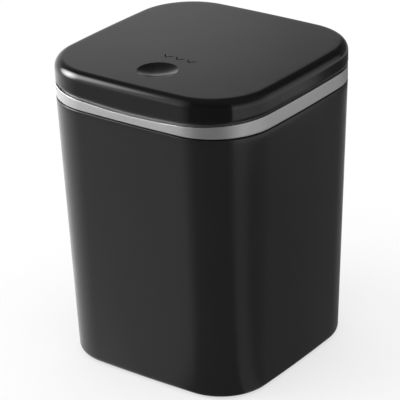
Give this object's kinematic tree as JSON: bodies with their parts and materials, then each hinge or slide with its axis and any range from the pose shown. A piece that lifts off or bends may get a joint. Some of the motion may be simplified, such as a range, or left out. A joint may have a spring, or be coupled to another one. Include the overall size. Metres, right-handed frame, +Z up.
{
  "type": "countertop bin",
  "caption": "Small square countertop bin with rounded corners, a silver collar ring and a hinged push-to-open lid with a finger dimple, held by a touch latch and opened by springs.",
  "frame": {"origin": "middle of the base pad's underside, where the bin rests", "axes": "+Z up, -Y towards the front, where the lid is pushed, +X to the right seen from the front"},
  "size_m": [0.1504, 0.1584, 0.1965],
  "materials": {
    "bucket_plastic": "satin black moulded polypropylene",
    "pad_rubber": "fine-cell non-slip foam rubber",
    "trim_silver": "silver lacquer over moulded plastic",
    "frame_plastic": "semi-matte black moulded polypropylene",
    "lid_plastic": "high-gloss black moulded ABS",
    "latch_dark": "dark grey acetal",
    "latch_light": "natural white acetal",
    "pin_steel": "drawn steel wire",
    "spring_steel": "spring steel wire",
    "screw_steel": "zinc-plated steel"
  },
  "bodies": {
    "bucket": {"bucket": "bucket_plastic", "base_pad": "pad_rubber"},
    "collar": {"collar_ring": "trim_silver", "collar_frame": "frame_plastic", "hinge_pin": "pin_steel", "hinge_spring_left": "spring_steel", "hinge_spring_right": "spring_steel", "latch_housing": "latch_dark", "latch_screws": "screw_steel", "latch_spring": "spring_steel"},
    "lid": {"lid_cover": "lid_plastic", "lid_liner": "frame_plastic", "lid_screws": "screw_steel", "striker": "latch_dark", "striker_screws": "screw_steel"},
    "latch_slider": {"latch_slider": "latch_light", "jaw_pins": "pin_steel"},
    "jaw_left": {"latch_jaw_left": "latch_light"},
    "jaw_right": {"latch_jaw_right": "latch_light"},
    "cam_follower": {"cam_follower": "pin_steel"}
  },
  "joints": [
    {"name": "collar_lift", "type": "slide", "parent": "bucket", "child": "collar", "axis": [0, 0, 1], "range_m": [0, 0.06]},
    {"name": "lid_hinge", "type": "hinge", "parent": "collar", "child": "lid", "pos_m": [0, 0.0798, 0.1827], "axis": [-1, 0, 0], "range_deg": [-0.35, 85], "deforming": ["hinge_spring_left", "hinge_spring_right"]},
    {"name": "latch_travel", "type": "slide", "parent": "collar", "child": "latch_slider", "axis": [0, 0, 1], "range_m": [-0.0001, 0.007], "deforming": ["latch_spring"]},
    {"name": "jaw_left_swing", "type": "hinge", "parent": "latch_slider", "child": "jaw_left", "pos_m": [-0.004, -0.06, 0.1749], "axis": [0, -1, 0], "range_deg": [-0.2, 20]},
    {"name": "jaw_right_swing", "type": "hinge", "parent": "latch_slider", "child": "jaw_right", "pos_m": [0.004, -0.06, 0.1749], "axis": [0, 1, 0], "range_deg": [-0.2, 20]},
    {"name": "cam_swing", "type": "hinge", "parent": "collar", "child": "cam_follower", "pos_m": [0, -0.05625, 0.1622], "axis": [0, 1, 0], "range_deg": [-0.1, 4.5]}
  ],
  "couplings": [
    {"joint": "latch_travel", "follows": "lid_hinge", "m_per_rad": 0.0047},
    {"joint": "jaw_left_swing", "follows": "lid_hinge", "ratio": 0.23},
    {"joint": "jaw_right_swing", "follows": "lid_hinge", "ratio": 0.23},
    {"joint": "cam_swing", "follows": "lid_hinge", "ratio": 0.05}
  ]
}
